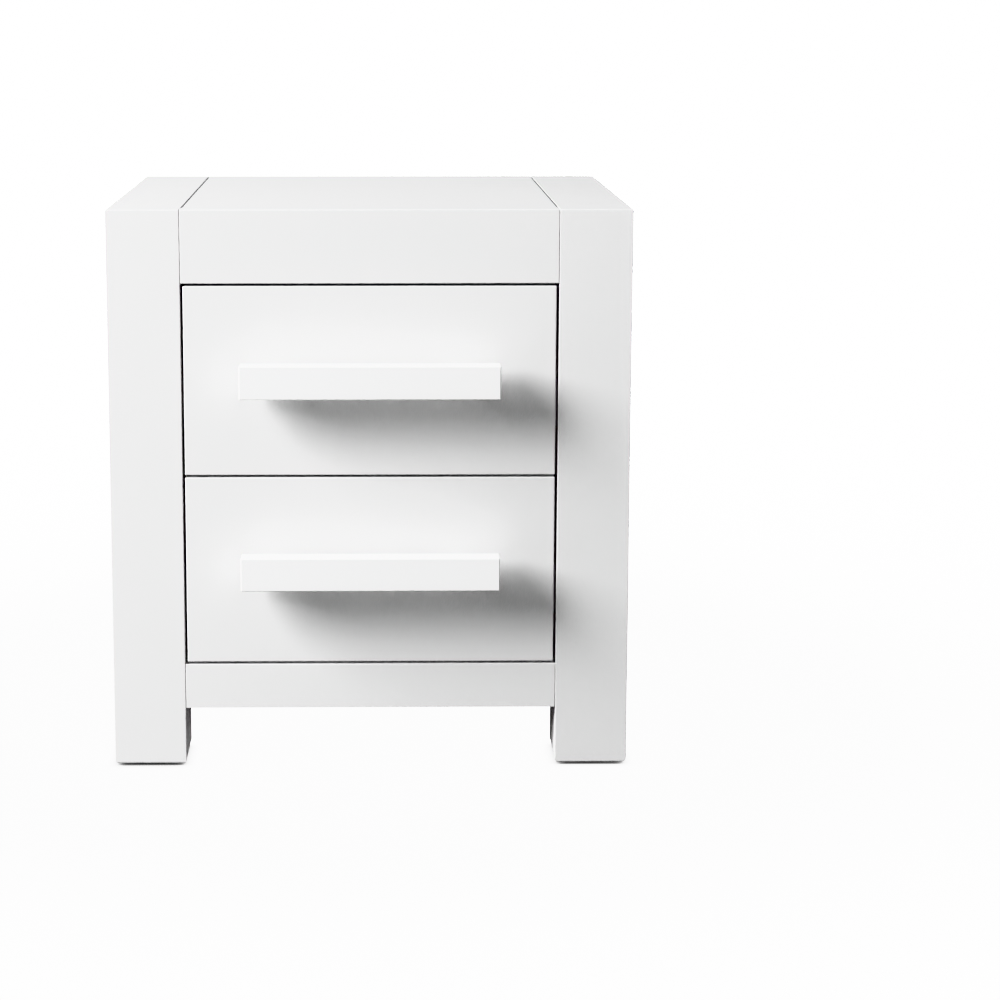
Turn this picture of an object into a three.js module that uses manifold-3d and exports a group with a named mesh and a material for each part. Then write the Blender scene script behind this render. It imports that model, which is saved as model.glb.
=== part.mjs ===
// A nightstand with two drawers that close flush in a frame of square posts.
// Millimetres. The drawers open towards -Y, +X is to the right of someone facing them, +Z is up.
// The origin is on the floor, under the middle of the whole object, handles included.
import * as THREE from 'three';
import { mergeVertices } from 'three/addons/utils/BufferGeometryUtils.js';
import Module from 'manifold-3d';

const wasm = await Module();
wasm.setup();

// ---- Driving dimensions ----

// Overall
const width = 450;
const height = 490;
const bodyDepth = 400;

// Frame of posts and rails
const postSection = 63;
const apronHeight = 63;
const lowRailHeight = 39.5;
const floorClearance = 52.75;
const railThickness = 22;
const topThickness = 22;

// Rails are tenoned into the posts
const tenonLength = 20;
const tenonThickness = 12;
const tenonShoulder = 10;
const tenonClearance = 0.25;

// Panels are held in grooves along the middle of the rails
const sidePanelThickness = 12;
const backPanelThickness = 5;
const floorPanelThickness = 6;
const floorPanelLift = 12;
const grooveDepth = 6;
const grooveClearance = 0.25;

// Foot glides
const glideThickness = 2.5;
const glideDiameter = 38;
const glideChamfer = 0.75;

// Battens that carry the slides between the posts
const battenMargin = 7.5;

// Drawers
const drawerCount = 2;
const reveal = 2.3;
const frontThickness = 19;
const boxSideThickness = 12;
const boxBackThickness = 12;
const boxLift = 16;
const boxTopGap = 29;
const boxBottomThickness = 6;
const boxBottomLift = 9;
const boxGrooveDepth = 6;
const boxRearClearance = 7;

// Full-extension slides of three members, one channel inside the other
const slideHeight = 45;
const slideThickness = 12.75;
const slideSheet = 1.25;
const slideSetback = 2;
const slideLift = 44;
const slideBallGap = 3.75;
const slideWebGap = 1.25;

// Bar handles that stand off the fronts on spacers
const handleLength = 222;
const handleHeight = 28.5;
const handleThickness = 20;
const handleStandoff = 12;
const handleSpacing = 160;
const handleRise = 3;
const spacerDiameter = 12;
const screwDiameter = 4;
const screwBite = 12;
const screwHeadDiameter = 8;
const screwHeadHeight = 2.5;
const screwHeadEdge = 1.25;
const screwClearance = 0.3;

const roundSides = 32;

// ---- Derived dimensions ----

// Faces that meet are put on one fine grid, so that they share exactly the same plane.
const gridStep = 1 / 64;
const snap = (value) => Math.round(value / gridStep) * gridStep;

const frontFace = snap((handleStandoff + handleThickness - bodyDepth) / 2);
const backFace = snap(frontFace + bodyDepth);
const sideFace = snap(width / 2);
const openingHalf = snap(sideFace - postSection);
const frontPostRear = snap(frontFace + postSection);
const rearPostFront = snap(backFace - postSection);
const frontRailRear = snap(frontFace + railThickness);
const rearRailFront = snap(backFace - railThickness);
const lowRailTop = snap(floorClearance + lowRailHeight);
const apronBottom = snap(height - apronHeight);
const sideRailInner = snap(sideFace - railThickness);
const panelOuter = snap(sideFace - (railThickness - sidePanelThickness) / 2);
const panelInner = snap(panelOuter - sidePanelThickness);
const backPanelRear = snap(backFace - (railThickness - backPanelThickness) / 2);
const backPanelFront = snap(backPanelRear - backPanelThickness);

const openingHeight = apronBottom - lowRailTop;
const frontHeight = snap((openingHeight - (drawerCount + 1) * reveal) / drawerCount);
const frontHalf = snap(openingHalf - reveal);
const boxHalf = snap(openingHalf - slideThickness);
const boxInnerHalf = snap(boxHalf - boxSideThickness);
const boxLength = snap(bodyDepth - frontThickness - railThickness - boxRearClearance);
const boxHeight = snap(frontHeight - boxLift - boxTopGap);
const boxBottomTop = boxBottomLift + boxBottomThickness;
const battenHeight = slideHeight + 2 * battenMargin;

// ---- Materials ----

const lacquer = () => new THREE.MeshStandardMaterial({ color: 0xf1f0ee, roughness: 0.42, metalness: 0 });
const boxBoard = () => new THREE.MeshStandardMaterial({ color: 0xeceae6, roughness: 0.55, metalness: 0 });
const backBoard = () => new THREE.MeshStandardMaterial({ color: 0xe6e4e0, roughness: 0.7, metalness: 0 });
const zincedSteel = () => new THREE.MeshStandardMaterial({ color: 0xb9bcc0, roughness: 0.36, metalness: 1 });
const nickelSteel = () => new THREE.MeshStandardMaterial({ color: 0xc9c7c2, roughness: 0.28, metalness: 1 });
const glidePlastic = () => new THREE.MeshStandardMaterial({ color: 0x8d8b88, roughness: 0.6, metalness: 0 });

// ---- Shapes ----

// A closed geometry as a solid that can be joined and cut.
function solidOf(geometry) {
  const bare = geometry.clone();
  bare.deleteAttribute('normal');
  bare.deleteAttribute('uv');
  const merged = mergeVertices(bare);
  return new wasm.Manifold(new wasm.Mesh({
    numProp: 3,
    vertProperties: new Float32Array(merged.attributes.position.array),
    triVerts: new Uint32Array(merged.index.array),
  }));
}

// The solid between two opposite corners, given in either order.
function block(cornerA, cornerB) {
  const low = cornerA.map((value, axis) => snap(Math.min(value, cornerB[axis])));
  const high = cornerA.map((value, axis) => snap(Math.max(value, cornerB[axis])));
  const geometry = new THREE.BoxGeometry(high[0] - low[0], high[1] - low[1], high[2] - low[2]);
  geometry.translate((low[0] + high[0]) / 2, (low[1] + high[1]) / 2, (low[2] + high[2]) / 2);
  return solidOf(geometry);
}

// A round rod along Y, for drilling.
function rod(diameter, centreX, startY, endY, centreZ) {
  const geometry = new THREE.CylinderGeometry(diameter / 2, diameter / 2, endY - startY, roundSides);
  geometry.translate(centreX, (startY + endY) / 2, centreZ);
  return solidOf(geometry);
}

function joined(solids) {
  return solids.reduce((whole, piece) => whole.add(piece));
}

function cut(solid, tools) {
  return tools.reduce((rest, tool) => rest.subtract(tool), solid);
}

// A named mesh whose geometry is centred on itself and whose position puts it back in place.
function pieceFrom(name, solid, material) {
  const mesh = solid.getMesh();
  const geometry = new THREE.BufferGeometry();
  geometry.setAttribute('position', new THREE.BufferAttribute(new Float32Array(mesh.vertProperties), 3));
  geometry.setIndex(new THREE.BufferAttribute(new Uint32Array(mesh.triVerts), 1));
  geometry.computeBoundingBox();
  const centre = geometry.boundingBox.getCenter(new THREE.Vector3());
  centre.set(snap(centre.x), snap(centre.y), snap(centre.z));
  geometry.translate(-centre.x, -centre.y, -centre.z);
  geometry.computeVertexNormals();
  const piece = new THREE.Mesh(geometry, material);
  piece.name = name;
  piece.position.copy(centre);
  return piece;
}

// A named turned piece. Its outline is in radius and length, and its axis is local Y.
function turned(name, outline, material) {
  const points = outline.map(([radius, along]) => new THREE.Vector2(radius, along));
  const piece = new THREE.Mesh(new THREE.LatheGeometry(points, roundSides), material);
  piece.name = name;
  return piece;
}

const sides = [
  { label: 'left', sign: -1 },
  { label: 'right', sign: 1 },
];

// ---- Frame of posts and rails ----

// A tenon, or with a clearance the mortise it enters. The rail's shoulder is at `shoulder` on the
// given axis and the tenon grows along `sign`; `centre` is its middle across the rail.
function tenon({ axis, shoulder, sign, centre, bottom, top, clearance = 0 }) {
  const half = tenonThickness / 2 + clearance;
  const tip = shoulder + sign * (tenonLength + clearance);
  const low = bottom + tenonShoulder - clearance;
  const high = top - tenonShoulder + clearance;
  if (axis === 'x') {
    return block([shoulder, centre - half, low], [tip, centre + half, high]);
  }
  return block([centre - half, shoulder, low], [centre + half, tip, high]);
}

const railLevels = {
  top_rail: { bottom: apronBottom, top: height },
  bottom_rail: { bottom: floorClearance, top: lowRailTop },
};

// Rails across the width: their tenons enter the posts at each end of the opening.
const crossRails = [
  { end: 'front', front: frontFace, rear: frontRailRear },
  { end: 'rear', front: rearRailFront, rear: backFace },
].flatMap((row) => Object.entries(railLevels).map(([label, level]) => ({ ...row, ...level, label })));

// Rails along the depth: the top ones are as wide as the posts and the low ones are boards.
const sideRails = [
  { label: 'top_rail', inner: openingHalf, ...railLevels.top_rail },
  { label: 'bottom_rail', inner: sideRailInner, ...railLevels.bottom_rail },
];

function crossTenon(rail, sign, clearance) {
  const centre = (rail.front + rail.rear) / 2;
  return tenon({
    axis: 'x', shoulder: sign * openingHalf, sign, centre, bottom: rail.bottom, top: rail.top, clearance,
  });
}

function sideTenon(rail, side, sign, clearance) {
  const centre = side.sign * (rail.inner + sideFace) / 2;
  const shoulder = sign < 0 ? frontPostRear : rearPostFront;
  return tenon({ axis: 'y', shoulder, sign, centre, bottom: rail.bottom, top: rail.top, clearance });
}

// The spaces that the grooved panels fill, or with a clearance the grooves themselves.
const panelFoot = lowRailTop - grooveDepth;
const panelHead = apronBottom + grooveDepth;
const floorPanelBottom = floorClearance + floorPanelLift;
const floorPanelTop = floorPanelBottom + floorPanelThickness;

function sidePanelSpace(side, clearance) {
  const reach = grooveDepth + clearance;
  return block(
    [side.sign * (panelInner - clearance), frontPostRear - reach, panelFoot - clearance],
    [side.sign * (panelOuter + clearance), rearPostFront + reach, panelHead + clearance],
  );
}

function backPanelSpace(clearance) {
  const half = openingHalf + grooveDepth + clearance;
  return block(
    [-half, backPanelFront - clearance, panelFoot - clearance],
    [half, backPanelRear + clearance, panelHead + clearance],
  );
}

function floorPanelSpace(clearance) {
  const reach = grooveDepth + clearance;
  const half = sideRailInner + reach;
  return block(
    [-half, frontRailRear - reach, floorPanelBottom - clearance],
    [half, rearRailFront + reach, floorPanelTop + clearance],
  );
}

function makePosts() {
  const ends = [
    { label: 'front', face: frontFace, inner: frontPostRear, sign: -1 },
    { label: 'rear', face: backFace, inner: rearPostFront, sign: 1 },
  ];
  return ends.flatMap((end) => sides.map((side) => {
    const post = block(
      [side.sign * openingHalf, end.face, glideThickness],
      [side.sign * sideFace, end.inner, height],
    );
    const mortises = [
      ...crossRails.filter((rail) => rail.end === end.label)
        .map((rail) => crossTenon(rail, side.sign, tenonClearance)),
      ...sideRails.map((rail) => sideTenon(rail, side, end.sign, tenonClearance)),
      sidePanelSpace(side, grooveClearance),
    ];
    if (end.label === 'rear') {
      mortises.push(backPanelSpace(grooveClearance));
    }
    return pieceFrom(`${end.label}_${side.label}_leg`, cut(post, mortises), lacquer());
  }));
}

function makeCrossRails() {
  return crossRails.map((rail) => {
    const board = block([-openingHalf, rail.front, rail.bottom], [openingHalf, rail.rear, rail.top]);
    const tenons = sides.map((side) => crossTenon(rail, side.sign, 0));
    const grooves = [floorPanelSpace(grooveClearance)];
    if (rail.end === 'rear') {
      grooves.push(backPanelSpace(grooveClearance));
    }
    return pieceFrom(`${rail.end}_${rail.label}`, joined([cut(board, grooves), ...tenons]), lacquer());
  });
}

function makeSideRails() {
  return sides.flatMap((side) => sideRails.map((rail) => {
    const board = block(
      [side.sign * rail.inner, frontPostRear, rail.bottom],
      [side.sign * sideFace, rearPostFront, rail.top],
    );
    const tenons = [-1, 1].map((sign) => sideTenon(rail, side, sign, 0));
    const grooves = [sidePanelSpace(side, grooveClearance), floorPanelSpace(grooveClearance)];
    return pieceFrom(`${side.label}_${rail.label}`, joined([cut(board, grooves), ...tenons]), lacquer());
  }));
}

// ---- Panels ----

function makePanels() {
  const top = block(
    [-openingHalf, frontRailRear, height - topThickness],
    [openingHalf, rearRailFront, height],
  );
  // The floor panel is notched at its corners to go round the posts.
  const corners = [
    [frontFace, frontPostRear + grooveClearance],
    [backFace, rearPostFront - grooveClearance],
  ];
  const notches = corners.flatMap(([outer, inner]) => sides.map((side) => block(
    [side.sign * (openingHalf - grooveClearance), outer, 0],
    [side.sign * sideFace, inner, height],
  )));
  return [
    pieceFrom('top_panel', top, lacquer()),
    ...sides.map((side) => pieceFrom(`${side.label}_side_panel`, sidePanelSpace(side, 0), lacquer())),
    pieceFrom('back_panel', backPanelSpace(0), backBoard()),
    pieceFrom('floor_panel', cut(floorPanelSpace(0), notches), backBoard()),
  ];
}

// ---- Foot glides ----

function makeGlides() {
  const radius = glideDiameter / 2;
  const outline = [
    [0, 0],
    [radius - glideChamfer, 0],
    [radius, glideChamfer],
    [radius, glideThickness],
    [0, glideThickness],
  ];
  const footX = (openingHalf + sideFace) / 2;
  const rows = [
    { label: 'front', y: (frontFace + frontPostRear) / 2 },
    { label: 'rear', y: (backFace + rearPostFront) / 2 },
  ];
  return rows.flatMap((row) => sides.map((side) => {
    const glide = turned(`${row.label}_${side.label}_glide`, outline, glidePlastic());
    // The outline's length runs up, so the glide is turned from Y to Z.
    glide.rotation.x = Math.PI / 2;
    glide.position.set(side.sign * footX, row.y, 0);
    return glide;
  }));
}

// ---- Slides ----

// The three members, by how far each stands off the cabinet side and how tall it is.
const cabinetHalf = slideHeight / 2;
const middleHalf = cabinetHalf - slideSheet - slideBallGap;
const drawerHalf = middleHalf - slideSheet - slideBallGap;
const slideMembers = {
  cabinet: { web: 0, lip: slideThickness - slideWebGap, half: cabinetHalf },
  middle: { web: slideSheet + slideWebGap, lip: slideThickness - slideWebGap, half: middleHalf },
  drawer: { web: slideThickness - slideSheet, lip: 2 * (slideSheet + slideWebGap), half: drawerHalf },
};

// One channel of a slide: a web and two flanges, standing off the side of the opening.
function makeSlideMember(name, kind, side, frontY, rearY, centreZ) {
  const { web, lip, half } = slideMembers[kind];
  const acrossX = (offset) => side.sign * (openingHalf - offset);
  const webPlate = block(
    [acrossX(web), frontY, centreZ - half],
    [acrossX(web + slideSheet), rearY, centreZ + half],
  );
  const reach = lip > web ? [web, lip] : [lip, web + slideSheet];
  const flanges = [-half, half - slideSheet].map((low) => block(
    [acrossX(reach[0]), frontY, centreZ + low],
    [acrossX(reach[1]), rearY, centreZ + low + slideSheet],
  ));
  return pieceFrom(name, joined([webPlate, ...flanges]), zincedSteel());
}

// ---- Drawers ----

// In a drawer's own frame the front's outer face is at y = 0 and its lower edge at z = 0.
const boxFrontY = frontThickness;
const boxRearY = frontThickness + boxLength;
const slideFrontY = boxFrontY + slideSetback;
const slideCentreZ = boxLift + slideLift;
const drawerBases = ['lower', 'upper'].map((label, level) => ({
  label,
  z: snap(lowRailTop + reveal + level * (frontHeight + reveal)),
}));

// The drawer's bottom slides in grooves in the sides and the front, and the back stands on it.
function boxBottomSpace(clearance) {
  const reach = boxGrooveDepth + clearance;
  const half = boxInnerHalf + reach;
  return block(
    [-half, boxFrontY - reach, boxLift + boxBottomLift - clearance],
    [half, boxRearY + clearance, boxLift + boxBottomTop],
  );
}

function makeDrawerFront(label) {
  const slab = block([-frontHalf, 0, 0], [frontHalf, frontThickness, frontHeight]);
  const holeZ = frontHeight / 2 + handleRise;
  const holes = sides.map((side) => rod(
    screwDiameter + 2 * screwClearance, side.sign * handleSpacing / 2, -1, frontThickness + 1, holeZ,
  ));
  const front = cut(slab, [boxBottomSpace(grooveClearance), ...holes]);
  return pieceFrom(`${label}_drawer_front`, front, lacquer());
}

function makeDrawerBox(label) {
  const bottom = pieceFrom(`${label}_drawer_bottom`, boxBottomSpace(0), boxBoard());
  const back = block(
    [-boxInnerHalf, boxRearY - boxBackThickness, boxLift + boxBottomTop],
    [boxInnerHalf, boxRearY, boxLift + boxHeight],
  );
  const walls = sides.map((side) => {
    const wall = block(
      [side.sign * boxInnerHalf, boxFrontY, boxLift],
      [side.sign * boxHalf, boxRearY, boxLift + boxHeight],
    );
    const grooved = cut(wall, [boxBottomSpace(grooveClearance)]);
    return pieceFrom(`${label}_drawer_${side.label}_side`, grooved, boxBoard());
  });
  return [...walls, pieceFrom(`${label}_drawer_back`, back, boxBoard()), bottom];
}

function makeHandle(label) {
  const centreZ = frontHeight / 2 + handleRise;
  const backY = -handleStandoff;
  const bar = block(
    [-handleLength / 2, backY - handleThickness, centreZ - handleHeight / 2],
    [handleLength / 2, backY, centreZ + handleHeight / 2],
  );
  const boreRadius = screwDiameter / 2 + screwClearance;
  const bores = sides.map((side) => rod(
    2 * boreRadius, side.sign * handleSpacing / 2, backY - screwBite - 1, backY + 1, centreZ,
  ));
  const spacerRadius = spacerDiameter / 2;
  const spacerOutline = [
    [boreRadius, 0],
    [spacerRadius, 0],
    [spacerRadius, handleStandoff],
    [boreRadius, handleStandoff],
    [boreRadius, 0],
  ];
  // The screw's head bears on the inside of the front and its tip is in the bar.
  const shank = frontThickness + handleStandoff + screwBite;
  const headRadius = screwHeadDiameter / 2;
  const screwOutline = [
    [0, 0],
    [screwDiameter / 2, 0],
    [screwDiameter / 2, shank],
    [headRadius, shank],
    [headRadius, shank + screwHeadHeight - screwHeadEdge],
    [headRadius - screwHeadEdge, shank + screwHeadHeight],
    [0, shank + screwHeadHeight],
  ];
  const fixings = sides.flatMap((side) => {
    const spacer = turned(`${label}_handle_${side.label}_spacer`, spacerOutline, lacquer());
    spacer.position.set(side.sign * handleSpacing / 2, backY, centreZ);
    const screw = turned(`${label}_handle_${side.label}_screw`, screwOutline, nickelSteel());
    screw.position.set(side.sign * handleSpacing / 2, frontThickness - shank, centreZ);
    return [spacer, screw];
  });
  return [pieceFrom(`${label}_handle_bar`, cut(bar, bores), lacquer()), ...fixings];
}

function makeDrawer({ label, z }) {
  const drawer = new THREE.Group();
  drawer.add(makeDrawerFront(label), ...makeDrawerBox(label), ...makeHandle(label));
  drawer.add(...sides.map((side) => makeSlideMember(
    `${label}_${side.label}_drawer_member`, 'drawer', side, slideFrontY, boxRearY, slideCentreZ,
  )));
  drawer.position.set(0, frontFace, z);
  return drawer;
}

// The parts that hold one drawer: the battens with their cabinet members, and the middle members.
function makeRunners({ label, z }) {
  const runners = new THREE.Group();
  runners.add(...sides.flatMap((side) => {
    const batten = block(
      [side.sign * openingHalf, postSection, slideCentreZ - battenHeight / 2],
      [side.sign * panelInner, bodyDepth - postSection, slideCentreZ + battenHeight / 2],
    );
    return [
      pieceFrom(`${label}_${side.label}_runner_batten`, batten, boxBoard()),
      ...['cabinet', 'middle'].map((kind) => makeSlideMember(
        `${label}_${side.label}_${kind}_member`, kind, side, slideFrontY, boxRearY, slideCentreZ,
      )),
    ];
  }));
  runners.position.set(0, frontFace, z);
  return runners;
}

// ---- The whole nightstand ----

const carcase = new THREE.Group();
carcase.add(...makePosts(), ...makeCrossRails(), ...makeSideRails(), ...makePanels(), ...makeGlides());

const nightstand = new THREE.Group();
nightstand.add(carcase, ...drawerBases.map(makeRunners), ...drawerBases.map(makeDrawer));

export default nightstand;
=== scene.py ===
import bpy
import bmesh
import math
from mathutils import Matrix, Vector


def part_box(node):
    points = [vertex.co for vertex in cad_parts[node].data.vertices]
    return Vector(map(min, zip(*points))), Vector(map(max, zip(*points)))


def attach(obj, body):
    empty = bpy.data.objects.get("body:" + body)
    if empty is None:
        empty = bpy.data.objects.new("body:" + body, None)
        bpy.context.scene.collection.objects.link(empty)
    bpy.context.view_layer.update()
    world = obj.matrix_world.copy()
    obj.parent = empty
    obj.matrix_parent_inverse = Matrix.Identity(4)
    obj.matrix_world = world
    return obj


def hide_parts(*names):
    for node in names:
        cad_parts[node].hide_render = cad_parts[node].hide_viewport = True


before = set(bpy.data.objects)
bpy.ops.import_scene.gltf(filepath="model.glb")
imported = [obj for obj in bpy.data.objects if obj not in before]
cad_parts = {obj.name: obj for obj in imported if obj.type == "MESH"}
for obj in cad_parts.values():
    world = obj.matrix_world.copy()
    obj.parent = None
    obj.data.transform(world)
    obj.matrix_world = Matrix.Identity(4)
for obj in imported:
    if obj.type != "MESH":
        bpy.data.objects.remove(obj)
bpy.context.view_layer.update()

# the frame's own measures that the pieces are worked out from
mm = 0.001
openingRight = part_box("front_right_leg")[0].x
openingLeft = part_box("front_left_leg")[1].x
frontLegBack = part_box("front_right_leg")[1].y
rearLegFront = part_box("rear_right_leg")[0].y
levels = ("upper", "lower")
sides = {"left": -1, "right": 1}
nearly = 1e-6   # points closer to a plane than this lie on it
facing = 0.9    # how squarely a face has to look along an axis to be picked


def deselectAll():
    if bpy.context.object and bpy.context.object.mode != "OBJECT":
        bpy.ops.object.mode_set(mode="OBJECT")
    bpy.ops.object.select_all(action="DESELECT")


def selectOnly(piece):
    deselectAll()
    bpy.context.view_layer.objects.active = piece
    piece.select_set(True)


def settle(name):
    # the new primitive gets its name, and its place goes into its mesh
    piece = bpy.context.object
    piece.name = name
    piece.data.name = name
    bpy.ops.object.transform_apply(location=True, rotation=True, scale=True)
    return piece


def pick(piece, mode, wanted):
    # in edit mode, selects what wanted() says yes to
    bpy.ops.mesh.select_mode(type=mode)
    bpy.ops.mesh.select_all(action="DESELECT")
    mesh = bmesh.from_edit_mesh(piece.data)
    for part in {"VERT": mesh.verts, "EDGE": mesh.edges, "FACE": mesh.faces}[mode]:
        if wanted(part):
            part.select_set(True)
    mesh.select_flush_mode()
    bmesh.update_edit_mesh(piece.data)


def useModifier(piece, kind, **settings):
    bpy.context.view_layer.objects.active = piece
    piece.select_set(True)
    modifier = piece.modifiers.new(kind.lower(), kind)
    for setting, value in settings.items():
        setattr(modifier, setting, value)
    bpy.ops.object.modifier_apply(modifier=modifier.name)


def smooth(piece, angle=32):
    # soft shading on the eased edges, with the big faces kept flat
    selectOnly(piece)
    bpy.ops.object.shade_smooth_by_angle(angle=math.radians(angle))
    useModifier(piece, "WEIGHTED_NORMAL", weight=100, keep_sharp=True)


def addBoard(name, low, high):
    deselectAll()
    low, high = Vector(low), Vector(high)
    bpy.ops.mesh.primitive_cube_add(size=1, location=(low + high) / 2, scale=high - low)
    return settle(name)


# the axis that each side of a board looks along, and whether it is the low or the high end
planes = {"left": (0, 0), "right": (0, 1), "front": (1, 0), "back": (1, 1),
          "bottom": (2, 0), "top": (2, 1)}


def easeEdges(board, eases, segments=4):
    # an edge is named by the two sides that meet there, and its ease is a radius in millimetres
    corners = [Vector(corner) for corner in board.bound_box]
    ends = [[min(c[axis] for c in corners), max(c[axis] for c in corners)] for axis in range(3)]
    widest = max(eases.values())
    selectOnly(board)
    bpy.ops.object.mode_set(mode="EDIT")
    for edgeName, radius in eases.items():
        sidesMet = [planes[side] for side in edgeName.split()]
        pick(board, "EDGE", lambda edge: all(
            abs(v.co[axis] - ends[axis][end]) < nearly for v in edge.verts for axis, end in sidesMet))
        bpy.ops.transform.edge_bevelweight(value=radius / widest)
    bpy.ops.object.mode_set(mode="OBJECT")
    useModifier(board, "BEVEL", width=widest * mm, segments=segments, limit_method="WEIGHT",
                use_clamp_overlap=True)
    smooth(board)


def allEdges(radius, **others):
    # the same ease on a board's twelve edges, but for those given by name, with _ for the space
    names = [f"{a} {b}" for a in ("left", "right") for b in ("front", "back", "bottom", "top")]
    names += [f"{a} {b}" for a in ("front", "back") for b in ("bottom", "top")]
    eases = {name: radius for name in names}
    eases.update({name.replace("_", " "): value for name, value in others.items()})
    return {name: value for name, value in eases.items() if value > 0}


def finishPiece(piece, body, slot, material, *nodes):
    piece.data.materials.clear()
    piece.data.materials.append(material)
    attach(piece, body)
    if nodes:
        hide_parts(*nodes)
    return piece


def copyPiece(piece, name, move=(0, 0, 0), mirrorX=False):
    # a copy with its own mesh; a mirrored mesh has its faces turned out again
    twin = piece.copy()
    twin.data = piece.data.copy()
    twin.name = name
    twin.data.name = name
    bpy.context.scene.collection.objects.link(twin)
    selectOnly(twin)
    if mirrorX:
        twin.data.transform(Matrix.Scale(-1, 4, (1, 0, 0)))
        twin.data.flip_normals()
    twin.data.transform(Matrix.Translation(move))
    return twin


def linear(hexColour):
    # an sRGB hex colour as linear values with full alpha
    parts = [int(hexColour[i:i + 2], 16) / 255 for i in (1, 3, 5)]
    return (*[c / 12.92 if c <= 0.04045 else ((c + 0.055) / 1.055) ** 2.4 for c in parts], 1)


def addNode(tree, kind, values=None, links=None, **settings):
    node = tree.nodes.new(kind)
    for setting, value in settings.items():
        setattr(node, setting, value)
    for socket, value in (values or {}).items():
        node.inputs[socket].default_value = value
    for socket, source in (links or {}).items():
        tree.links.new(source, node.inputs[socket])
    return node


def newMaterial(name, **constants):
    # an empty material with its shader, and object coordinates in metres to draw with
    material = bpy.data.materials.new(name)
    material.use_nodes = True
    tree = material.node_tree
    tree.nodes.clear()
    shader = addNode(tree, "ShaderNodeBsdfPrincipled", constants)
    addNode(tree, "ShaderNodeOutputMaterial", links={"Surface": shader.outputs["BSDF"]})
    place = addNode(tree, "ShaderNodeTexCoord").outputs["Object"]
    return material, tree, shader, place


def connect(tree, shader, tone, rough, bump):
    tree.links.new(tone.outputs["Color"], shader.inputs["Base Color"])
    tree.links.new(rough.outputs["Result"], shader.inputs["Roughness"])
    tree.links.new(bump.outputs["Normal"], shader.inputs["Normal"])


def perMetre(sizeInMm):
    # a pattern's scale from the real size of its features
    return 1000 / sizeInMm


def satinLacquer(name, light, shade, roughLow=0.34, roughHigh=0.44):
    # sprayed two-part polyurethane lacquer, rubbed to satin: soft broad highlights, the faint
    # orange peel that spraying leaves, and a long low wave where the board was sanded by hand
    material, tree, shader, place = newMaterial(name, IOR=1.5)
    cloud = addNode(tree, "ShaderNodeTexNoise", {"Scale": perMetre(90), "Detail": 3, "Roughness": 0.5},
                    {"Vector": place})
    tone = addNode(tree, "ShaderNodeMixRGB", {"Color1": linear(light), "Color2": linear(shade)},
                   {"Fac": cloud.outputs["Fac"]})
    sheen = addNode(tree, "ShaderNodeTexNoise", {"Scale": perMetre(14), "Detail": 2}, {"Vector": place})
    rough = addNode(tree, "ShaderNodeMapRange", {"To Min": roughLow, "To Max": roughHigh},
                    {"Value": sheen.outputs["Fac"]})
    peel = addNode(tree, "ShaderNodeTexNoise", {"Scale": perMetre(1.6), "Detail": 2}, {"Vector": place})
    wave = addNode(tree, "ShaderNodeTexNoise", {"Scale": perMetre(45), "Detail": 1}, {"Vector": place})
    waveBump = addNode(tree, "ShaderNodeBump", {"Strength": 0.25, "Distance": 0.00025},
                       {"Height": wave.outputs["Fac"]})
    peelBump = addNode(tree, "ShaderNodeBump", {"Strength": 0.25, "Distance": 0.00002},
                       {"Height": peel.outputs["Fac"], "Normal": waveBump.outputs["Normal"]})
    connect(tree, shader, tone, rough, peelBump)
    return material


def melamineBoard(name, light, shade):
    # chipboard faced with printed melamine paper: flat and a little dull, with the fine dimpled
    # pearl that the press plate leaves
    material, tree, shader, place = newMaterial(name, IOR=1.5)
    cloud = addNode(tree, "ShaderNodeTexNoise", {"Scale": perMetre(60), "Detail": 2}, {"Vector": place})
    tone = addNode(tree, "ShaderNodeMixRGB", {"Color1": linear(light), "Color2": linear(shade)},
                   {"Fac": cloud.outputs["Fac"]})
    pearl = addNode(tree, "ShaderNodeTexVoronoi", {"Scale": perMetre(1.1)}, {"Vector": place},
                    feature="SMOOTH_F1")
    rough = addNode(tree, "ShaderNodeMapRange", {"To Min": 0.46, "To Max": 0.6},
                    {"Value": pearl.outputs["Distance"]})
    bump = addNode(tree, "ShaderNodeBump", {"Strength": 0.35, "Distance": 0.00006},
                   {"Height": pearl.outputs["Distance"]})
    connect(tree, shader, tone, rough, bump)
    return material


def paintedHardboard(name, light, shade):
    # pressed wood fibre under one coat of roller paint: matt, with a fibrous mottle showing through
    material, tree, shader, place = newMaterial(name, IOR=1.48)
    fibres = addNode(tree, "ShaderNodeTexNoise", {"Scale": perMetre(2.2), "Detail": 5, "Roughness": 0.7},
                     {"Vector": place})
    tone = addNode(tree, "ShaderNodeMixRGB", {"Color1": linear(light), "Color2": linear(shade)},
                   {"Fac": fibres.outputs["Fac"]})
    rough = addNode(tree, "ShaderNodeMapRange", {"To Min": 0.6, "To Max": 0.78},
                    {"Value": fibres.outputs["Fac"]})
    bump = addNode(tree, "ShaderNodeBump", {"Strength": 0.4, "Distance": 0.00012},
                   {"Height": fibres.outputs["Fac"]})
    connect(tree, shader, tone, rough, bump)
    return material


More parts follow.
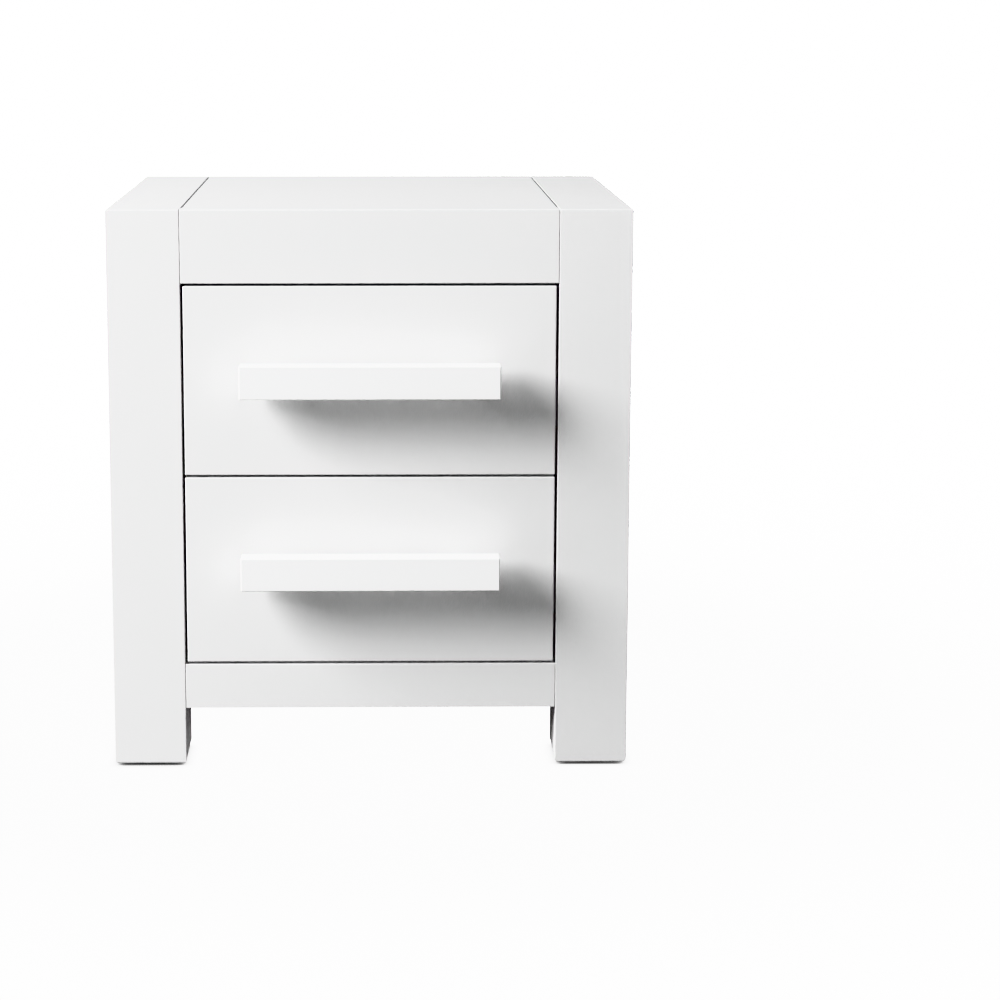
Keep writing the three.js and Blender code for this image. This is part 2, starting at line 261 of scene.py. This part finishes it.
def platedSteel(name, light, shade, roughLow, roughHigh, grainMm, stretch):
    # steel under a thin plating: lines drawn out along the way it was rolled or turned, and the
    # slightly clouded tone of the plating bath
    material, tree, shader, place = newMaterial(name, Metallic=1.0)
    drawn = addNode(tree, "ShaderNodeMapping", {"Scale": (1, 1 / stretch, 1)}, {"Vector": place})
    lines = addNode(tree, "ShaderNodeTexNoise", {"Scale": perMetre(grainMm), "Detail": 3},
                    {"Vector": drawn.outputs["Vector"]})
    cloud = addNode(tree, "ShaderNodeTexNoise", {"Scale": perMetre(18), "Detail": 3}, {"Vector": place})
    tone = addNode(tree, "ShaderNodeMixRGB", {"Color1": linear(light), "Color2": linear(shade)},
                   {"Fac": cloud.outputs["Fac"]})
    rough = addNode(tree, "ShaderNodeMapRange", {"To Min": roughLow, "To Max": roughHigh},
                    {"Value": lines.outputs["Fac"]})
    bump = addNode(tree, "ShaderNodeBump", {"Strength": 0.2, "Distance": 0.00002},
                   {"Height": lines.outputs["Fac"]})
    connect(tree, shader, tone, rough, bump)
    return material


def mouldedNylonAndShadeStrip(name, light, shade):
    # injection moulded nylon from a spark-eroded mould: an even matt grain, no grain direction
    # with dark tones it also makes the strip of painted shade in the top's joints
    material, tree, shader, place = newMaterial(name, IOR=1.53)
    grain = addNode(tree, "ShaderNodeTexNoise", {"Scale": perMetre(0.7), "Detail": 2}, {"Vector": place})
    tone = addNode(tree, "ShaderNodeMixRGB", {"Color1": linear(light), "Color2": linear(shade)},
                   {"Fac": grain.outputs["Fac"]})
    rough = addNode(tree, "ShaderNodeMapRange", {"To Min": 0.5, "To Max": 0.65},
                    {"Value": grain.outputs["Fac"]})
    bump = addNode(tree, "ShaderNodeBump", {"Strength": 0.4, "Distance": 0.00004},
                   {"Height": grain.outputs["Fac"]})
    connect(tree, shader, tone, rough, bump)
    return material


whiteLacquer = satinLacquer("satinWhiteLacquer", "#e6e6e6", "#e4e4e4")
handleLacquer = satinLacquer("satinHandleLacquer", "#fcfcfc", "#fafafa", 0.3, 0.38)
boxBoard = melamineBoard("whiteMelamineBoard", "#f0eeea", "#ebe9e4")
backBoard = paintedHardboard("paintedHardboard", "#ebe9e5", "#e2dfd9")
zincSteel = platedSteel("zincPlatedRolledSteel", "#c9ccd1", "#b4b8be", 0.24, 0.4, 0.8, 30)
nickelSteel = platedSteel("nickelPlatedTurnedSteel", "#d6d3cb", "#c6c2b8", 0.18, 0.3, 0.5, 1)
ballSteel = platedSteel("polishedBearingSteel", "#dcdde0", "#d2d4d8", 0.06, 0.12, 2, 1)
glideNylon = mouldedNylonAndShadeStrip("mouldedGreyNylon", "#8f8d8a", "#7f7d7a")
# a dark grey strip for the top's two joints: painted shade that darkens the joint lines
paintedShadeStrip = mouldedNylonAndShadeStrip("darkStripForPaintedShade", "#4a4948", "#403f3e")
print("materials made")

# posts of the frame: eased all round, with a finer arris where a seam runs beside them, and feet
# whose sides are rounded off so that they don't chip
postDesign = {"edge": 0.7, "seam": 0.5, "innerSeam": 0.5, "footSide": 4.2, "footFront": 1.2}
opposite = {"left": "right", "right": "left", "front": "back", "back": "front"}

for end, face in (("front", "front"), ("rear", "back")):
    behind = opposite[face]
    for side in sides:
        node = f"{end}_{side}_leg"
        post = addBoard(f"{end}{side.title()}Post", *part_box(node))
        inner = opposite[side]
        eases = {f"{side} {face}": postDesign["edge"], f"{inner} {face}": postDesign["seam"],
                 f"{side} {behind}": postDesign["innerSeam"],
                 f"{inner} {behind}": postDesign["innerSeam"],
                 f"{face} top": postDesign["edge"], f"{side} top": postDesign["edge"],
                 f"{inner} top": postDesign["seam"]}
        eases.update({f"{foot} bottom": postDesign["footSide"] for foot in (side, inner)})
        eases.update({f"{foot} bottom": postDesign["footFront"] for foot in (face, behind)})
        easeEdges(post, eases)
        finishPiece(post, "carcase", "white_lacquer", whiteLacquer, node)
print("posts made")

# rails across the width; the apron's upper edge runs on from the posts' upper edge, and a hairline
# joint parts every rail from its posts
railDesign = {"edge": 0.7, "seam": 0.5, "hidden": 0.4, "joint": 0.35, "topJoint": 1.2}
jointGap = railDesign["joint"] * mm
topJointGap = railDesign["topJoint"] * mm

for end, face in (("front", "front"), ("rear", "back")):
    for level in ("top", "bottom"):
        node = f"{end}_{level}_rail"
        low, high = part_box(node)
        rail = addBoard(f"{end}{level.title()}Rail", (openingLeft + jointGap, low.y, low.z),
                        (openingRight - jointGap, high.y, high.z))
        eases = {f"left {face}": railDesign["seam"], f"right {face}": railDesign["seam"],
                 f"{face} bottom": railDesign["seam"], f"{opposite[face]} bottom": railDesign["hidden"]}
        if level == "top":
            eases.update({f"{face} top": railDesign["edge"], "left top": railDesign["seam"],
                          "right top": railDesign["seam"]})
        else:
            eases.update({f"{face} top": railDesign["seam"],
                          f"{opposite[face]} top": railDesign["hidden"]})
        easeEdges(rail, eases)
        finishPiece(rail, "carcase", "white_lacquer", whiteLacquer, node)

# rails along the depth
for side in sides:
    inner = opposite[side]
    for level in ("top", "bottom"):
        node = f"{side}_{level}_rail"
        low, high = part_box(node)
        rail = addBoard(f"{side}{level.title()}SideRail", (low.x, frontLegBack + jointGap, low.z),
                        (high.x, rearLegFront - jointGap, high.z))
        eases = {f"{side} front": railDesign["seam"], f"{side} back": railDesign["seam"],
                 f"{side} bottom": railDesign["seam"], f"{inner} bottom": railDesign["hidden"]}
        if level == "top":
            eases.update({f"{side} top": railDesign["edge"], f"{inner} top": railDesign["seam"]})
        else:
            eases.update({f"{side} top": railDesign["seam"]})
        easeEdges(rail, eases)
        finishPiece(rail, "carcase", "white_lacquer", whiteLacquer, node)

# the top board stands a little off the side rails, which leaves a shadow line down each side of it
low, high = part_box("top_panel")
topBoard = addBoard("topBoard", (low.x + topJointGap, low.y, low.z),
                    (high.x - topJointGap, high.y, high.z))
easeEdges(topBoard, {"left top": railDesign["seam"], "right top": railDesign["seam"],
                     "left bottom": railDesign["hidden"], "right bottom": railDesign["hidden"]})
finishPiece(topBoard, "carcase", "white_lacquer", whiteLacquer, "top_panel")

# a dark strip lies just under the surface in each of those two joints: painted shade, which makes the
# joint lines read darker
shadeStripDesign = {"sunk": 0.3, "clear": 0.02, "edge": 0.15}
shadeStripClear = shadeStripDesign["clear"] * mm
for side, jointStart in (("left", low.x), ("right", high.x - topJointGap)):
    strip = addBoard(f"{side}TopStrip", (jointStart + shadeStripClear, low.y, low.z),
                     (jointStart + topJointGap - shadeStripClear, high.y, high.z - shadeStripDesign["sunk"] * mm))
    easeEdges(strip, {"left top": shadeStripDesign["edge"], "right top": shadeStripDesign["edge"]})
    finishPiece(strip, "carcase", "foot_glide", paintedShadeStrip)
print("rails and top made")

# drawer boxes: melamine boards with taped edges, and the lacquered front
drawerDesign = {"frontEdge": 0.8, "frontBack": 0.4, "tape": 0.7, "boxEdge": 0.25}
for level in levels:
    body = f"{level}_drawer"
    front = addBoard(f"{level}Front", *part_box(f"{level}_drawer_front"))
    easeEdges(front, allEdges(drawerDesign["frontEdge"], left_back=drawerDesign["frontBack"],
                              right_back=drawerDesign["frontBack"], back_bottom=drawerDesign["frontBack"],
                              back_top=drawerDesign["frontBack"]))
    finishPiece(front, body, "white_lacquer", whiteLacquer, f"{level}_drawer_front")
    for part in ("left_side", "right_side", "back"):
        node = f"{level}_drawer_{part}"
        board = addBoard(f"{level}Box{part.title().replace('_', '')}", *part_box(node))
        easeEdges(board, allEdges(drawerDesign["boxEdge"], left_top=drawerDesign["tape"],
                                  right_top=drawerDesign["tape"], front_top=drawerDesign["tape"],
                                  back_top=drawerDesign["tape"]))
        finishPiece(board, body, "drawer_board", boxBoard, node)
print("drawer boxes made")

# handles: a bar with softly eased edges, held off the front by turned spacers
handleDesign = {"edge": 0.8, "edgeSteps": 5, "neck": 0.6, "neckLength": 0.8, "spacerSides": 48,
                "screwRadius": 2}
neckLength = handleDesign["neckLength"] * mm
for level in levels:
    body = f"{level}_drawer"
    bar = addBoard(f"{level}HandleBar", *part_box(f"{level}_handle_bar"))
    easeEdges(bar, allEdges(handleDesign["edge"]), segments=handleDesign["edgeSteps"])
    finishPiece(bar, body, "white_lacquer", handleLacquer, f"{level}_handle_bar")
    for side in sides:
        node = f"{level}_handle_{side}_spacer"
        low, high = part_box(node)
        radius = (high.x - low.x) / 2
        deselectAll()
        bpy.ops.mesh.primitive_cylinder_add(vertices=handleDesign["spacerSides"], radius=radius,
                                            depth=high.y - low.y - 2 * neckLength,
                                            location=(low + high) / 2, rotation=(math.pi / 2, 0, 0))
        spacer = settle(f"{level}Handle{side.title()}Spacer")
        # a narrower neck at both ends, so that a fine shadow line parts it from the bar and the front
        bpy.ops.object.mode_set(mode="EDIT")
        for way in (-1, 1):
            pick(spacer, "FACE", lambda face: face.normal.y * way > facing)
            bpy.ops.mesh.inset(thickness=handleDesign["neck"] * mm)
            bpy.ops.mesh.extrude_region_move(TRANSFORM_OT_translate={"value": (0, way * neckLength, 0)})
        bpy.ops.object.mode_set(mode="OBJECT")
        smooth(spacer)
        finishPiece(spacer, body, "white_lacquer", handleLacquer, node)
print("handles made")

# screws: a head with a cross recess and a plain shank, modelled once with the head's top facing -Y
# and its underside at y = 0, then copied and turned into place
screwDesign = {"sides": 32, "recessDepth": 0.45, "recessWidth": 0.16, "recessReach": 0.62, "rim": 0.45,
               "rimSteps": 4}


def makeScrew(name, headRadius, headHeight, shankRadius, shankLength):
    deselectAll()
    bpy.ops.mesh.primitive_cylinder_add(vertices=screwDesign["sides"], radius=headRadius,
                                        depth=headHeight, location=(0, -headHeight / 2, 0),
                                        rotation=(math.pi / 2, 0, 0))
    screw = settle(name)
    bpy.ops.object.mode_set(mode="EDIT")
    # the shank grows out of the head's flat side
    pick(screw, "FACE", lambda face: face.normal.y > facing)
    bpy.ops.mesh.inset(thickness=headRadius - shankRadius)
    bpy.ops.mesh.extrude_region_move(TRANSFORM_OT_translate={"value": (0, shankLength, 0)})
    # the rim is rounded over to make the pan shape
    pick(screw, "EDGE", lambda edge: all(
        v.co.y < nearly - headHeight and Vector((v.co.x, v.co.z)).length > headRadius - nearly
        for v in edge.verts))
    bpy.ops.mesh.bevel(offset=headHeight * screwDesign["rim"], segments=screwDesign["rimSteps"],
                       affect="EDGES")
    bpy.ops.object.mode_set(mode="OBJECT")
    # the cross is a small block whose four sides are drawn out, taken out of the head
    half = headRadius * screwDesign["recessWidth"]
    depth = headHeight * screwDesign["recessDepth"]
    deselectAll()
    bpy.ops.mesh.primitive_cube_add(size=2 * half, location=(0, -headHeight, 0))
    cross = settle(name + "Cross")
    bpy.ops.object.mode_set(mode="EDIT")
    for way in ((1, 0), (-1, 0), (0, 1), (0, -1)):
        # only the cube's own four sides, not those of an arm drawn out before
        pick(cross, "FACE", lambda face: face.normal.x * way[0] + face.normal.z * way[1] > facing
             and max(abs(face.calc_center_median().x), abs(face.calc_center_median().z)) < half + nearly)
        reach = headRadius * screwDesign["recessReach"] - half
        bpy.ops.mesh.extrude_region_move(
            TRANSFORM_OT_translate={"value": (way[0] * reach, 0, way[1] * reach)})
    bpy.ops.mesh.select_all(action="SELECT")
    bpy.ops.transform.resize(value=(1, depth / half, 1), center_override=(0, -headHeight, 0))
    bpy.ops.object.mode_set(mode="OBJECT")
    cutAway(screw, cross)
    smooth(screw)
    return screw


def cutAway(piece, cutter):
    # the cutter's shape is taken out of the piece, and the cutter is thrown away
    deselectAll()
    useModifier(piece, "BOOLEAN", operation="DIFFERENCE", object=cutter, solver="EXACT")
    bpy.data.objects.remove(cutter)


def placeScrew(screw, name, place, turn):
    twin = copyPiece(screw, name)
    twin.data.transform(Matrix.Translation(place) @ Matrix.Rotation(turn, 4, "Z"))
    return twin


def joinPieces(name, pieces):
    deselectAll()
    for piece in pieces:
        piece.select_set(True)
    bpy.context.view_layer.objects.active = pieces[0]
    bpy.ops.object.join()
    pieces[0].name = name
    pieces[0].data.name = name
    return pieces[0]


# slides: three channels rolled from thin sheet, one inside the other, with two pressed cages of balls.
# The upper right slide is modelled, and the other three are copies of it
slideDesign = {"sheet": 1.25, "bend": 1.3, "bendSteps": 3, "cabinetLip": 1.5, "middleLip": 0.9,
               "slotWidth": 4.8, "slotLength": 9, "slotSides": 24, "punch": 100,
               "screwsFromFront": (37, 133, 325), "headRadius": 3.6, "headHeight": 0.9,
               "shankRadius": 2, "shankLength": 1}
cageDesign = {"ball": 3.6, "ballSides": 8, "ballRings": 6, "ballTo": 6.6, "sheet": 0.6, "width": 5.2,
              "bands": 5, "outerBand": 0.45, "turned": 0.5, "pitch": 11, "margin": 8, "apart": 6,
              "endGap": 4}
sheet = slideDesign["sheet"] * mm


def rollChannel(name, node, webHigh, lip):
    # a plane the size of the web is drawn out into flanges and lips, bent round and thickened
    low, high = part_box(node)
    webX, tipX = (high.x, low.x) if webHigh else (low.x, high.x)
    centre = (low + high) / 2
    deselectAll()
    webCentre = Vector((webX, centre.y, centre.z))
    bpy.ops.mesh.primitive_plane_add(size=1, location=webCentre, rotation=(0, math.pi / 2, 0))
    channel = settle(name)
    bpy.ops.object.mode_set(mode="EDIT")
    bpy.ops.transform.resize(value=(1, high.y - low.y, high.z - low.z), center_override=webCentre)
    for end, way in ((low.z, -1), (high.z, 1)):
        pick(channel, "EDGE", lambda edge: all(abs(v.co.z - end) < nearly for v in edge.verts))
        bpy.ops.mesh.extrude_region_move(TRANSFORM_OT_translate={"value": (tipX - webX, 0, 0)})
        if lip:
            bpy.ops.mesh.extrude_region_move(TRANSFORM_OT_translate={"value": (0, 0, -way * lip * mm)})
    pick(channel, "EDGE", lambda edge: len(edge.link_faces) == 2)
    bpy.ops.mesh.bevel(offset=slideDesign["bend"] * mm, segments=slideDesign["bendSteps"],
                       affect="EDGES")
    bpy.ops.mesh.select_all(action="SELECT")
    bpy.ops.mesh.normals_make_consistent(inside=False)
    # the thickness has to grow into the channel, so the web has to look away from its flanges
    mesh = bmesh.from_edit_mesh(channel.data)
    web = min(mesh.faces, key=lambda face: abs(face.calc_center_median().x - webX))
    if web.normal.x * (webX - tipX) < 0:
        bpy.ops.mesh.flip_normals()
    bpy.ops.object.mode_set(mode="OBJECT")
    useModifier(channel, "SOLIDIFY", thickness=sheet, offset=-1, use_even_offset=True)
    return channel


def punchSlots(channel, centreZ, places):
    # obround slots through the web: each cutter is a cylinder with its two halves moved apart
    low, high = Vector(channel.bound_box[0]), Vector(channel.bound_box[6])
    stretch = (slideDesign["slotLength"] - slideDesign["slotWidth"]) / 2 * mm
    cutters = []
    for y in places:
        deselectAll()
        bpy.ops.mesh.primitive_cylinder_add(vertices=slideDesign["slotSides"],
                                            radius=slideDesign["slotWidth"] / 2 * mm,
                                            depth=slideDesign["punch"] * mm,
                                            location=((low.x + high.x) / 2, y, centreZ),
                                            rotation=(0, math.pi / 2, 0))
        cutter = settle("slotCutter")
        bpy.ops.object.mode_set(mode="EDIT")
        for way in (-1, 1):
            pick(cutter, "VERT", lambda v: (v.co.y - y) * way > nearly)
            bpy.ops.transform.translate(value=(0, way * stretch, 0))
        bpy.ops.object.mode_set(mode="OBJECT")
        cutters.append(cutter)
    cutAway(channel, joinPieces("slotCutters", cutters))


def makeCage(name, x, levelsZ, startY, endY):
    # a strip of sheet above and below, with its edges turned a little, and a row of balls in each
    strips, balls = [], []
    turned = cageDesign["turned"] * mm
    bandFrom = cageDesign["width"] * cageDesign["outerBand"] * mm
    count = int((endY - startY - 2 * cageDesign["margin"] * mm) / (cageDesign["pitch"] * mm)) + 1
    first = (startY + endY) / 2 - (count - 1) * cageDesign["pitch"] * mm / 2
    for z in levelsZ:
        size = Vector((cageDesign["width"], 0, cageDesign["sheet"])) * mm / 2
        strip = addBoard("strip", Vector((x, startY, z)) - size, Vector((x, endY, z)) + size)
        bpy.ops.object.mode_set(mode="EDIT")
        pick(strip, "EDGE", lambda edge: abs(edge.verts[0].co.y - edge.verts[1].co.y) < nearly
             and abs(edge.verts[0].co.z - edge.verts[1].co.z) < nearly)
        bpy.ops.mesh.subdivide(number_cuts=cageDesign["bands"] - 1)
        # the two outer bands of the strip are bent towards its middle line
        for way in (-1, 1):
            pick(strip, "VERT", lambda v: (v.co.x - x) * way > bandFrom)
            bpy.ops.transform.translate(value=(0, 0, -turned if z > levelsZ[0] else turned))
        bpy.ops.object.mode_set(mode="OBJECT")
        strips.append(strip)
        for number in range(count):
            deselectAll()
            bpy.ops.mesh.primitive_uv_sphere_add(
                segments=cageDesign["ballSides"], ring_count=cageDesign["ballRings"],
                radius=cageDesign["ball"] / 2 * mm,
                location=(x, first + number * cageDesign["pitch"] * mm, z))
            balls.append(settle("ball"))
    cage = joinPieces(name + "Cage", strips)
    smooth(cage)
    ballRow = joinPieces(name + "Balls", balls)
    selectOnly(ballRow)
    bpy.ops.object.shade_smooth()
    return cage, ballRow


slideScrew = makeScrew("slideScrew", slideDesign["headRadius"] * mm, slideDesign["headHeight"] * mm,
                       slideDesign["shankRadius"] * mm, slideDesign["shankLength"] * mm)
slidePieces = []
memberWebHigh = {"cabinet": True, "middle": True, "drawer": False}
memberLips = {"cabinet": slideDesign["cabinetLip"], "middle": slideDesign["middleLip"], "drawer": 0}
for kind, webHigh in memberWebHigh.items():
    node = f"upper_right_{kind}_member"
    low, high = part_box(node)
    centreZ = (low.z + high.z) / 2
    channel = rollChannel(f"upperRight{kind.title()}Member", node, webHigh, memberLips[kind])
    places = [low.y + place * mm for place in slideDesign["screwsFromFront"]]
    punchSlots(channel, centreZ, places)
    smooth(channel)
    slidePieces.append((kind, "Member", channel, zincSteel))
    if kind != "middle":
        # the screw heads bear on the web's inner face, and point away from the board behind it
        inner = high.x - sheet if webHigh else low.x + sheet
        turn = -math.pi / 2 if webHigh else math.pi / 2
        heads = [placeScrew(slideScrew, "screw", (inner, y, centreZ), turn) for y in places]
        screws = joinPieces(f"upperRight{kind.title()}Screws", heads)
        slidePieces.append((kind, "Screws", screws, nickelSteel))

middleLow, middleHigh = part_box("upper_right_middle_member")
cabinetLow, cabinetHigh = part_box("upper_right_cabinet_member")
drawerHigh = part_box("upper_right_drawer_member")[1]
centreZ = (middleLow.z + middleHigh.z) / 2
middleY = (middleLow.y + middleHigh.y) / 2
# the balls run midway between a channel's flange and the flange of the one that it lies in
outerBall = (middleHigh.z + cabinetHigh.z - sheet) / 2 - centreZ
innerBall = (drawerHigh.z + middleHigh.z - sheet) / 2 - centreZ
ballX = cabinetHigh.x - cageDesign["ballTo"] * mm
apart = cageDesign["apart"] * mm
endGap = cageDesign["endGap"] * mm
outer = makeCage("upperRightOuter", ballX, (centreZ - outerBall, centreZ + outerBall),
                 middleY + apart, middleHigh.y - endGap)
inner = makeCage("upperRightInner", ballX, (centreZ - innerBall, centreZ + innerBall),
                 middleLow.y + endGap, middleY - apart)
for name, (cage, ballRow) in (("Outer", outer), ("Inner", inner)):
    slidePieces.append(("middle", name + "Cage", cage, zincSteel))
    slidePieces.append(("middle", name + "Balls", ballRow, ballSteel))
bpy.data.objects.remove(slideScrew)

bodyOfKind = {"cabinet": "carcase", "middle": "{}_middle_members", "drawer": "{}_drawer"}
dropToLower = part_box("lower_right_cabinet_member")[0].z - cabinetLow.z
for level in levels:
    move = (0, 0, dropToLower if level == "lower" else 0)
    for side in ("left", "right"):
        for kind, label, piece, material in slidePieces:
            title = kind.title() if label in ("Member", "Screws") else ""
            name = f"{level}{side.title()}{title}{label}"
            made = piece if name == piece.name else copyPiece(piece, name, move, mirrorX=side == "left")
            slot = "nickel_steel" if label == "Screws" else "zinced_steel"
            finishPiece(made, bodyOfKind[kind].format(level), slot, material)
            if label == "Member":
                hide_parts(f"{level}_{side}_{kind}_member")
print("slides made")

# handle screws: pan heads inside the drawer, with shanks through the front and the spacers
low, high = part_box("upper_handle_right_screw")
headLength = high.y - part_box("upper_drawer_front")[1].y
handleScrew = makeScrew("handleScrew", (high.x - low.x) / 2, headLength,
                        handleDesign["screwRadius"] * mm, high.y - headLength - low.y)
for level in levels:
    for side in sides:
        node = f"{level}_handle_{side}_screw"
        low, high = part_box(node)
        place = ((low.x + high.x) / 2, high.y - headLength, (low.z + high.z) / 2)
        screw = placeScrew(handleScrew, f"{level}Handle{side.title()}Screw", place, math.pi)
        finishPiece(screw, f"{level}_drawer", "nickel_steel", nickelSteel, node)
bpy.data.objects.remove(handleScrew)

# foot glides: moulded discs with a rounded rim, a ring round the wear face and a nail hole in the middle
glideDesign = {"sides": 72, "rim": 0.9, "rimSteps": 4, "ringAt": 13, "ringWidth": 1.4, "ringDepth": 0.5,
               "nailAt": 4.5, "nailDepth": 1.1}
low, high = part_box("front_right_glide")
deselectAll()
bpy.ops.mesh.primitive_cylinder_add(vertices=glideDesign["sides"], radius=(high.x - low.x) / 2,
                                    depth=high.z - low.z, location=(low + high) / 2)
glide = settle("frontRightGlide")
glideRadius = (high.x - low.x) / 2
bpy.ops.object.mode_set(mode="EDIT")
pick(glide, "EDGE", lambda edge: all(abs(v.co.z - low.z) < nearly for v in edge.verts))
bpy.ops.mesh.bevel(offset=glideDesign["rim"] * mm, segments=glideDesign["rimSteps"], affect="EDGES")
pick(glide, "FACE", lambda face: face.normal.z < nearly - 1)
faceRadius = glideRadius - glideDesign["rim"] * mm
ringInside = glideDesign["ringAt"] - glideDesign["ringWidth"]
bpy.ops.mesh.inset(thickness=faceRadius - glideDesign["ringAt"] * mm)
for rise, nextInset in ((glideDesign["ringDepth"], glideDesign["ringWidth"]),
                        (-glideDesign["ringDepth"], ringInside - glideDesign["nailAt"]),
                        (glideDesign["nailDepth"], 0)):
    bpy.ops.mesh.extrude_region_move(TRANSFORM_OT_translate={"value": (0, 0, rise * mm)})
    if nextInset:
        bpy.ops.mesh.inset(thickness=nextInset * mm)
bpy.ops.object.mode_set(mode="OBJECT")
smooth(glide)
for end in ("front", "rear"):
    for side in sides:
        node = f"{end}_{side}_glide"
        name = f"{end}{side.title()}Glide"
        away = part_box(node)[0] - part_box("front_right_glide")[0]
        made = glide if name == "frontRightGlide" else copyPiece(glide, name, away)
        finishPiece(made, "carcase", "foot_glide", glideNylon, node)
print("screws and glides made")

# carried-over nodes keep their shape and take the fine finishes
keptNodes = {
    "left_side_panel": whiteLacquer, "right_side_panel": whiteLacquer,
    "back_panel": backBoard, "floor_panel": backBoard,
}
for level in levels:
    keptNodes[f"{level}_drawer_bottom"] = boxBoard
    for side in sides:
        keptNodes[f"{level}_{side}_runner_batten"] = boxBoard
for node, material in keptNodes.items():
    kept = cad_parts[node]
    kept.data.materials.clear()
    kept.data.materials.append(material)
print("carried-over nodes finished")

# camera at a seated person's eye height, square on to the front and a little to its right
cameraDesign = {"place": (0.003, -2.269, 0.669), "tiltDown": 9.567, "turnRight": 0.625, "lens": 88.5,
                "shiftX": 0.10, "shiftY": -0.09}
cameraData = bpy.data.cameras.new("viewCamera")
cameraData.lens = cameraDesign["lens"]
cameraData.shift_x = cameraDesign["shiftX"]
cameraData.shift_y = cameraDesign["shiftY"]
camera = bpy.data.objects.new("viewCamera", cameraData)
camera.location = cameraDesign["place"]
camera.rotation_euler = (math.radians(90 - cameraDesign["tiltDown"]), 0,
                         -math.radians(cameraDesign["turnRight"]))
bpy.context.scene.collection.objects.link(camera)
bpy.context.scene.camera = camera

# soft studio light: one large key from the upper left, a weak one from the front that opens the
# shadows, and a fill that keeps the far side and the back out of the dark
lightDesign = {
    "key": {"place": (-2.92, -1.26, 2.10), "aim": (0, -0.18, 0.3), "size": (1.6, 2.0), "watts": 405},
    "front": {"place": (0.6, -4.0, 0.9), "aim": (0, -0.18, 0.3), "size": (4.0, 3.0), "watts": 32},
    "fill": {"place": (3.1, 2.9, 0.62), "aim": (0, 0, 0.3), "size": (2.6, 1.2), "watts": 220},
}
for lightName, design in lightDesign.items():
    lamp = bpy.data.lights.new(lightName + "Light", "AREA")
    lamp.shape = "RECTANGLE"
    lamp.size, lamp.size_y = design["size"]
    lamp.energy = design["watts"]
    holder = bpy.data.objects.new(lightName + "Light", lamp)
    holder.location = design["place"]
    holder.rotation_mode = "QUATERNION"
    beam = Vector(design["place"]) - Vector(design["aim"])
    holder.rotation_quaternion = beam.to_track_quat("Z", "Y")
    bpy.context.scene.collection.objects.link(holder)

# the floor is paper that brightens with distance until it meets the white backdrop
studioDesign = {"ambient": 0.13, "backdrop": 100, "floor": 60,
                "glowFrom": 0.4, "glowTo": 2.5, "glowNear": 3, "glowFar": 60,
                "contactShadow": 0.010, "contactDepth": 1.5}
deselectAll()
bpy.ops.mesh.primitive_plane_add(size=studioDesign["floor"], location=(0, 0, 0))
floor = settle("paleFloor")
floorPaper, tree, shader, place = newMaterial("mattPaper")
grain = addNode(tree, "ShaderNodeTexNoise", {"Scale": perMetre(3), "Detail": 3}, {"Vector": place})
rough = addNode(tree, "ShaderNodeMapRange", {"To Min": 0.85, "To Max": 0.95},
                {"Value": grain.outputs["Fac"]})
tone = addNode(tree, "ShaderNodeMixRGB", {"Color1": linear("#444444"), "Color2": linear("#424242")},
               {"Fac": grain.outputs["Fac"]})
distance = addNode(tree, "ShaderNodeVectorMath", links={0: place}, operation="LENGTH")
fade = addNode(tree, "ShaderNodeMapRange",
               {"From Min": studioDesign["glowFrom"], "From Max": studioDesign["glowTo"],
                "To Min": studioDesign["glowNear"], "To Max": studioDesign["glowFar"]},
               {"Value": distance.outputs["Value"]}, interpolation_type="SMOOTHSTEP")
seen = addNode(tree, "ShaderNodeLightPath").outputs["Is Camera Ray"]
# a painted contact shadow: what stands on the paper darkens its glow where they touch
contactShadow = addNode(tree, "ShaderNodeAmbientOcclusion", {"Distance": studioDesign["contactShadow"]})
glow = addNode(tree, "ShaderNodeMath", links={0: fade.outputs["Result"], 1: seen}, operation="MULTIPLY")
contactShadow = addNode(tree, "ShaderNodeMath", {1: studioDesign["contactDepth"]}, {0: contactShadow.outputs["AO"]},
                  operation="POWER")
glow = addNode(tree, "ShaderNodeMath", links={0: glow.outputs["Value"], 1: contactShadow.outputs["Value"]},
               operation="MULTIPLY")
tree.links.new(tone.outputs["Color"], shader.inputs["Base Color"])
tree.links.new(rough.outputs["Result"], shader.inputs["Roughness"])
shader.inputs["Emission Color"].default_value = linear("#ffffff")
tree.links.new(glow.outputs["Value"], shader.inputs["Emission Strength"])
floor.data.materials.append(floorPaper)

world = bpy.data.worlds.new("studio")
world.use_nodes = True
sky = world.node_tree.nodes["Background"]
sky.inputs["Color"].default_value = linear("#ffffff")
seen = addNode(world.node_tree, "ShaderNodeLightPath").outputs["Is Camera Ray"]
glow = addNode(world.node_tree, "ShaderNodeMapRange",
               {"To Min": studioDesign["ambient"], "To Max": studioDesign["backdrop"]}, {"Value": seen})
world.node_tree.links.new(glow.outputs["Result"], sky.inputs["Strength"])
bpy.context.scene.world = world
bpy.context.scene.view_settings.view_transform = "Khronos PBR Neutral"
print("stage, light and camera set")
